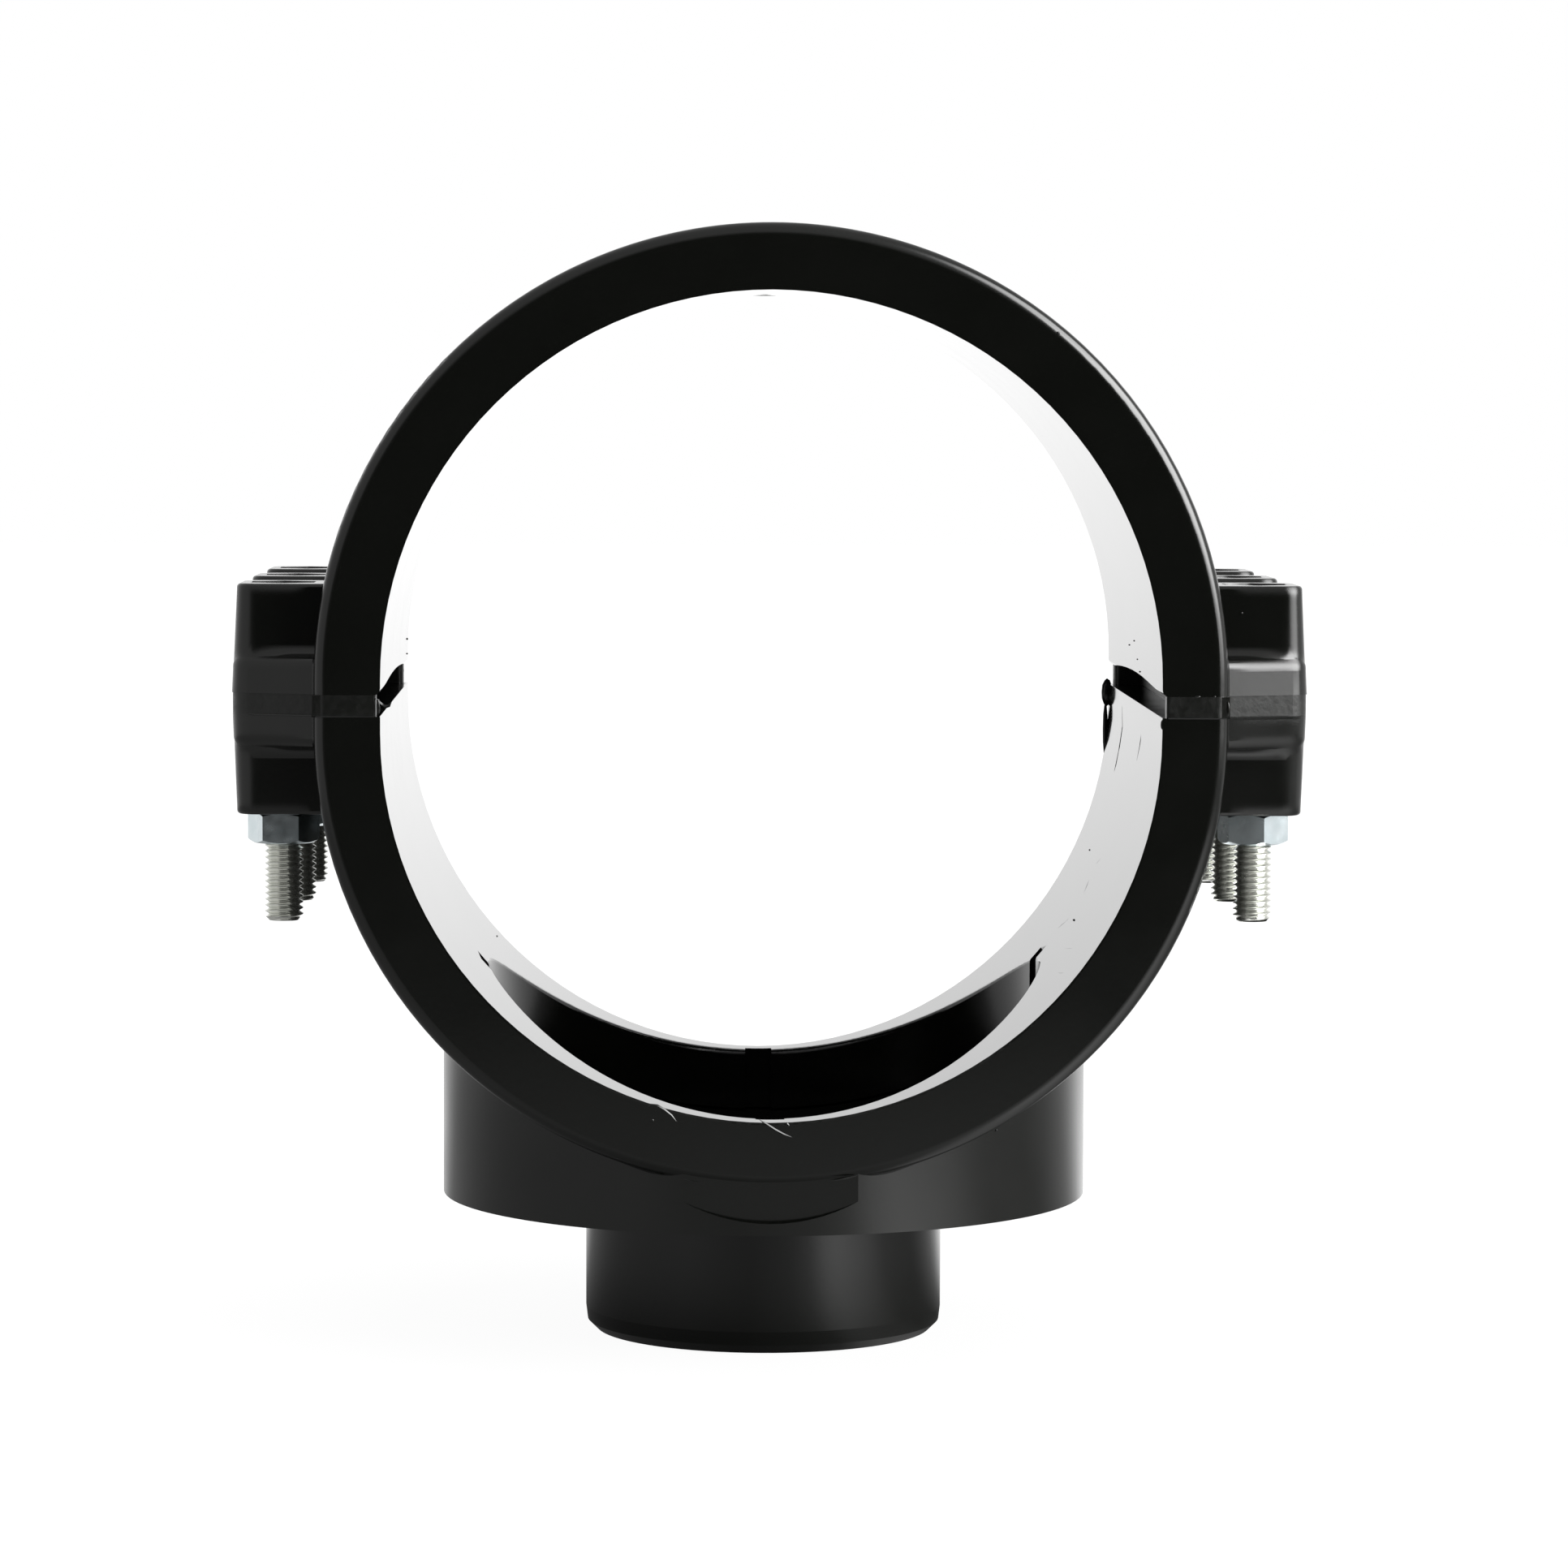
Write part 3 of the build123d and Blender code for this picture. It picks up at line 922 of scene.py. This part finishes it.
def around(nodes, x, y, stops):
    """Level by azimuth. A ramp ends at 1, so it holds half the level."""
    azimuth = nodes.math("DEGREES", nodes.math("ARCTAN2", x, nodes.math("MULTIPLY", y, -1.0)))
    turned = nodes.rising(azimuth, -180.0, 180.0)
    halved = ramp(nodes, turned, [(degrees / 360 + 0.5, level / 2) for degrees, level in stops])
    return nodes.math("MULTIPLY", halved, 2.0)


# %% [markdown]
# ## World
#
# Only glossy rays see the walls, the plain ceiling above them and the glow of
# the soft box high on the right. A matt surface gets an even light, which
# keeps the plastic as dark as its colour says, and the camera sees plain
# white.

# %% World
ceiling_level = 0.6
ceiling_start, ceiling_full = 0.25, 0.6  # sines of the elevation
glow_direction = (0.77, -0.34, 0.54)
glow_level = 11.0
glow_edge, glow_core = radians(31), radians(20)
matt_level = 0.32
plain_white = 1.0

world = bpy.data.worlds.new("studio")
world.use_nodes = True
bpy.context.scene.world = world
sky = Nodes(world.node_tree)
sky.tree.nodes.clear()

x, y, z = sky.split(sky.add("ShaderNodeTexCoord").outputs["Generated"])
above = sky.rising(z, ceiling_start, ceiling_full)
walls = sky.mix("FLOAT", above, around(sky, x, y, wall_stops), ceiling_level)
toward_glow = sky.vector("DOT_PRODUCT", sky.join(x, y, z), glow_direction)
glow = sky.remap(toward_glow, cos(glow_edge), cos(glow_core), 0.0, glow_level)
ray = sky.add("ShaderNodeLightPath")
level = sky.mix("FLOAT", ray.outputs["Is Glossy Ray"], matt_level, sky.math("ADD", walls, glow))
direct = sky.math("MAXIMUM", ray.outputs["Is Camera Ray"], ray.outputs["Is Transmission Ray"])
background = sky.add("ShaderNodeBackground")
sky.feed(background.inputs["Color"], (1, 1, 1, 1))
sky.feed(background.inputs["Strength"], sky.mix("FLOAT", direct, level, plain_white))
sky.feed(sky.add("ShaderNodeOutputWorld").inputs["Surface"], background.outputs["Background"])
print(f"world: {len(sky.tree.nodes)} nodes, matt surfaces get {matt_level}")

# %% [markdown]
# ## Lamp
#
# One large soft box stands at the right, a little above the object. It lights
# the right side of the hub and the outlet, and throws the soft shadow on the
# floor. A sun or a spot would give a hard edge to both.

# %% Lamp
object_middle = Vector((0, 0, 0.14))


def soft_lamp(name, azimuth, elevation, distance, width, height, radiance):
    """A soft box turned to the object. Its azimuth runs as the ramps' does."""
    data = bpy.data.lights.new(name, "AREA")
    data.shape = "RECTANGLE"
    data.size, data.size_y = width, height
    data.energy = radiance * pi * width * height
    lamp = bpy.data.objects.new(name, data)
    turn, rise = radians(azimuth), radians(elevation)
    away = Vector((sin(turn) * cos(rise), -cos(turn) * cos(rise), sin(rise)))
    lamp.location = object_middle + distance * away
    lamp.rotation_euler = away.to_track_quat("Z", "Y").to_euler()
    bpy.context.scene.collection.objects.link(lamp)
    print(f"{name}: {data.energy:.1f} W, {width} by {height} m")


soft_lamp(
    "key_softbox", azimuth=61, elevation=19.5, distance=2.2, width=1.6, height=1.75, radiance=4.4
)

# %% [markdown]
# ## Floor
#
# The saddle stands on white paper, which keeps a soft shadow near the object
# and fades to plain white further out. More light would whiten the paper but
# also grey the plastic. So the paper glows for the camera, and a share of its
# true shading is left near the object, where the shadow falls. Glossy
# surfaces see a painted glow instead: a painted shadow darkens it under the
# object, painted light from the soft box brightens it at the right front, and
# further away it glows like the walls.

# %% Floor shape
floor_half = 6
floor_mesh = bpy.data.meshes.new("floor")
floor_shape = bmesh.new()
bmesh.ops.create_grid(floor_shape, x_segments=1, y_segments=1, size=floor_half)
floor_shape.to_mesh(floor_mesh)
floor_shape.free()
floor = bpy.data.objects.new("floor", floor_mesh)
floor.location.z = -0.2 * mm
bpy.context.scene.collection.objects.link(floor)
print(f"floor: {2 * floor_half} m square, {-floor.location.z / mm:.1f} mm under the outlet")

# %% Floor paper
seen_white = 1.12
shadow_start, shadow_end = 0.08, 0.4
white_share = 0.85  # of the glow, nearest the object
# Painted shadow: near the object the floor's glow for glossy rays drops to this level.
painted_contact_shadow_start, painted_contact_shadow_end, painted_contact_shadow_level = 0.045, 0.16, 0.22
far_start, far_end = 0.55, 0.75

paper = Finish("floor_paper")
x, y, z = paper.split(paper.place())
distance = paper.length(x, y)
# Painted shadow and painted light make up the floor's glow for glossy rays; further out it glows
# like the walls.
painted_contact_shadow = paper.remap(distance, painted_contact_shadow_start, painted_contact_shadow_end, painted_contact_shadow_level, 1.0)
near = paper.math("MULTIPLY", painted_contact_shadow, around(paper, x, y, floor_painted_light_stops))
far = paper.rising(distance, far_start, far_end)
painted_floor_reflection = paper.mix("FLOAT", far, near, around(paper, x, y, wall_stops))
ray = paper.add("ShaderNodeLightPath")
glow = paper.add("ShaderNodeEmission")
level = paper.mix("FLOAT", ray.outputs["Is Glossy Ray"], seen_white, painted_floor_reflection)
paper.feed(glow.inputs["Strength"], level)
seen = paper.math("MAXIMUM", ray.outputs["Is Camera Ray"], ray.outputs["Is Transmission Ray"])
white = paper.remap(distance, shadow_start, shadow_end, white_share, 1.0)
seen = paper.math("MULTIPLY", seen, white)

# %% Floor shader
paper.set(Base_Color=(0.8, 0.8, 0.8, 1), Roughness=0.9, Specular_IOR_Level=0.0)
mix = paper.add("ShaderNodeMixShader")
paper.feed(mix.inputs["Fac"], paper.math("MAXIMUM", seen, ray.outputs["Is Glossy Ray"]))
paper.feed(mix.inputs[1], paper.shader.outputs["BSDF"])
paper.feed(mix.inputs[2], glow.outputs["Emission"])
paper.feed(paper.tree.nodes["Material Output"].inputs["Surface"], mix.outputs["Shader"])
floor_mesh.materials.append(paper.material)
print(f"{paper.material.name}: {len(paper.tree.nodes)} nodes")
